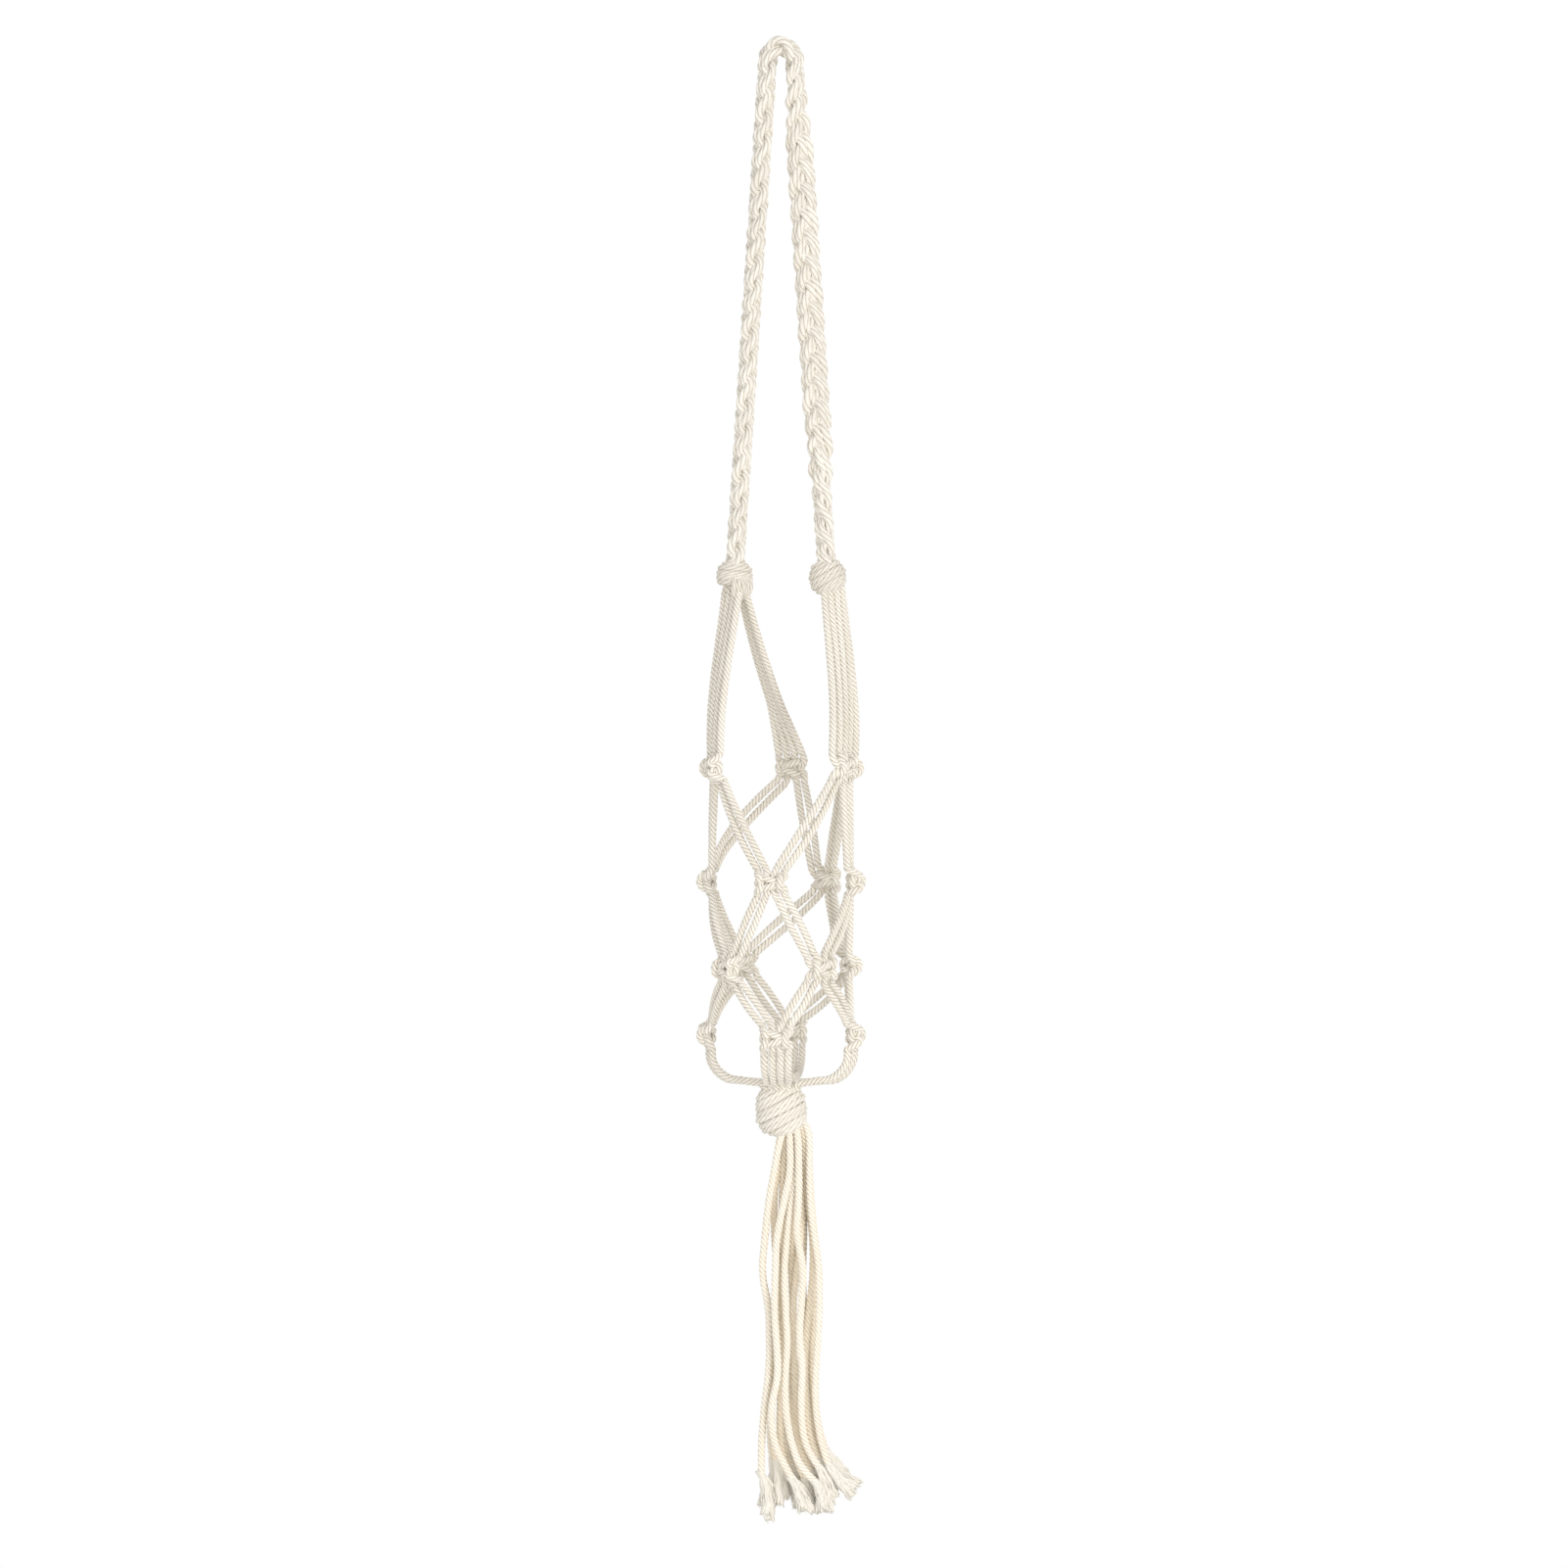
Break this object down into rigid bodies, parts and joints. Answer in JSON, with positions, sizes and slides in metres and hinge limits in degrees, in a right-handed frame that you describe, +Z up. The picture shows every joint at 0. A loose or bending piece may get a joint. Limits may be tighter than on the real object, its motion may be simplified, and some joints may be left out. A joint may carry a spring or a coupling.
{
  "type": "bottle carrier",
  "caption": "Hanging carrier of knotted cotton cord: a braided loop, a net of square knots that holds a round bottle, and a tassel with frayed ends.",
  "frame": {"origin": "where a hook or finger bears, on the inside top of the braided loop", "axes": "+Z up along the hanging carrier, +X to the right seen from the front, -Y to the front"},
  "size_m": [0.0986, 0.0986, 0.8615],
  "materials": {
    "cotton_cord": "matt laid cotton cord, natural off-white",
    "frayed_cotton": "loose brushed cotton fibre"
  },
  "bodies": {
    "handle": {"crown_braid_strand_1": "cotton_cord", "crown_braid_strand_2": "cotton_cord", "crown_braid_strand_3": "cotton_cord", "left_braid_strand_1": "cotton_cord", "left_braid_strand_2": "cotton_cord", "left_braid_strand_3": "cotton_cord", "left_loop_knot_core": "cotton_cord", "left_loop_knot_turns": "cotton_cord", "right_braid_strand_1": "cotton_cord", "right_braid_strand_2": "cotton_cord", "right_braid_strand_3": "cotton_cord", "right_loop_knot_core": "cotton_cord", "right_loop_knot_turns": "cotton_cord"},
    "pocket": {"base_cords_back": "cotton_cord", "base_cords_front": "cotton_cord", "base_cords_left": "cotton_cord", "base_cords_right": "cotton_cord", "drop_cords_back_left": "cotton_cord", "drop_cords_back_right": "cotton_cord", "drop_cords_front_left": "cotton_cord", "drop_cords_front_right": "cotton_cord", "mesh_cords_row1_back_left": "cotton_cord", "mesh_cords_row1_back_right": "cotton_cord", "mesh_cords_row1_front_left": "cotton_cord", "mesh_cords_row1_front_right": "cotton_cord", "mesh_cords_row2_back": "cotton_cord", "mesh_cords_row2_front": "cotton_cord", "mesh_cords_row2_left": "cotton_cord", "mesh_cords_row2_right": "cotton_cord", "mesh_cords_row3_back_left": "cotton_cord", "mesh_cords_row3_back_right": "cotton_cord", "mesh_cords_row3_front_left": "cotton_cord", "mesh_cords_row3_front_right": "cotton_cord", "square_knot_row1_back_left": "cotton_cord", "square_knot_row1_back_right": "cotton_cord", "square_knot_row1_front_left": "cotton_cord", "square_knot_row1_front_right": "cotton_cord", "square_knot_row2_back": "cotton_cord", "square_knot_row2_front": "cotton_cord", "square_knot_row2_left": "cotton_cord", "square_knot_row2_right": "cotton_cord", "square_knot_row3_back_left": "cotton_cord", "square_knot_row3_back_right": "cotton_cord", "square_knot_row3_front_left": "cotton_cord", "square_knot_row3_front_right": "cotton_cord", "square_knot_row4_back": "cotton_cord", "square_knot_row4_front": "cotton_cord", "square_knot_row4_left": "cotton_cord", "square_knot_row4_right": "cotton_cord"},
    "base_knot": {"base_knot_core": "cotton_cord", "base_knot_turns": "cotton_cord"},
    "tassel": {"frayed_ends_back": "frayed_cotton", "frayed_ends_front": "frayed_cotton", "frayed_ends_middle": "frayed_cotton", "tassel_cords_back": "cotton_cord", "tassel_cords_front": "cotton_cord", "tassel_cords_middle": "cotton_cord"}
  },
  "joints": [
    {"name": "pocket_swing", "type": "hinge", "parent": "handle", "child": "pocket", "pos_m": [0, 0, -0.302], "axis": [1, 0, 0], "range_deg": [-75, 75]},
    {"name": "base_knot_rock", "type": "hinge", "parent": "pocket", "child": "base_knot", "pos_m": [0, 0, -0.612], "axis": [1, 0, 0], "range_deg": [-20, 20]},
    {"name": "tassel_sway", "type": "hinge", "parent": "base_knot", "child": "tassel", "pos_m": [0, 0, -0.612], "axis": [0, 1, 0], "range_deg": [-40, 40]}
  ]
}
